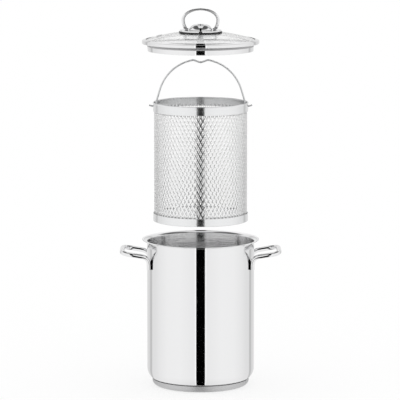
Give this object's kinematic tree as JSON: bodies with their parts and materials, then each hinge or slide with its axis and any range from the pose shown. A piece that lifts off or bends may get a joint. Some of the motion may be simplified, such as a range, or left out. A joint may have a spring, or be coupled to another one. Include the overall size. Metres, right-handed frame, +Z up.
{
  "type": "asparagus pot",
  "caption": "Tall polished steel pot with side handles, a lift-out mesh basket on a wire bail, and a glass lid with a loop knob, drawn taken apart on one axis.",
  "frame": {"origin": "middle of the base's underside, on the surface that the pot stands on", "axes": "+Z up along the pot's axis, +X through the right handle, -Y towards the viewer of the picture"},
  "size_m": [0.2434, 0.1756, 0.5707],
  "materials": {
    "polished_steel": "mirror polished",
    "base_steel": "fine turned satin",
    "basket_steel": "satin",
    "wire_steel": "bright drawn wire",
    "aluminium": "plain",
    "glass": "clear",
    "silicone": "matt, translucent",
    "black_silicone": "smooth, dull"
  },
  "bodies": {
    "pot": {"pot_body": "polished_steel", "base_core": "aluminium", "base_cap": "base_steel", "handle_right": "polished_steel", "handle_left": "polished_steel"},
    "basket": {"basket_mesh": "basket_steel", "basket_top_band": "basket_steel", "basket_bottom_band": "basket_steel", "basket_floor": "basket_steel"},
    "bail": {"basket_bail": "wire_steel"},
    "lid": {"lid_glass": "glass", "lid_rim": "polished_steel", "steam_vent": "polished_steel", "knob_plate": "polished_steel", "knob_boss": "polished_steel", "knob_bow": "polished_steel", "knob_screw": "polished_steel", "upper_seal": "black_silicone", "lower_seal": "silicone", "backing_cup": "polished_steel", "knob_nut": "polished_steel"}
  },
  "joints": [
    {"name": "basket_lift", "type": "slide", "parent": "pot", "child": "basket", "axis": [0, 0, 1], "range_m": [-0.2391, 0]},
    {"name": "lid_lift", "type": "slide", "parent": "basket", "child": "lid", "axis": [0, 0, 1], "range_m": [-0.0559, 0]},
    {"name": "bail_swing", "type": "hinge", "parent": "basket", "child": "bail", "pos_m": [0, 0, 0.42357], "axis": [1, 0, 0], "range_deg": [0, 80]}
  ],
  "couplings": [
    {"joint": "bail_swing", "follows": "lid_lift", "rad_per_m": -24.95}
  ]
}
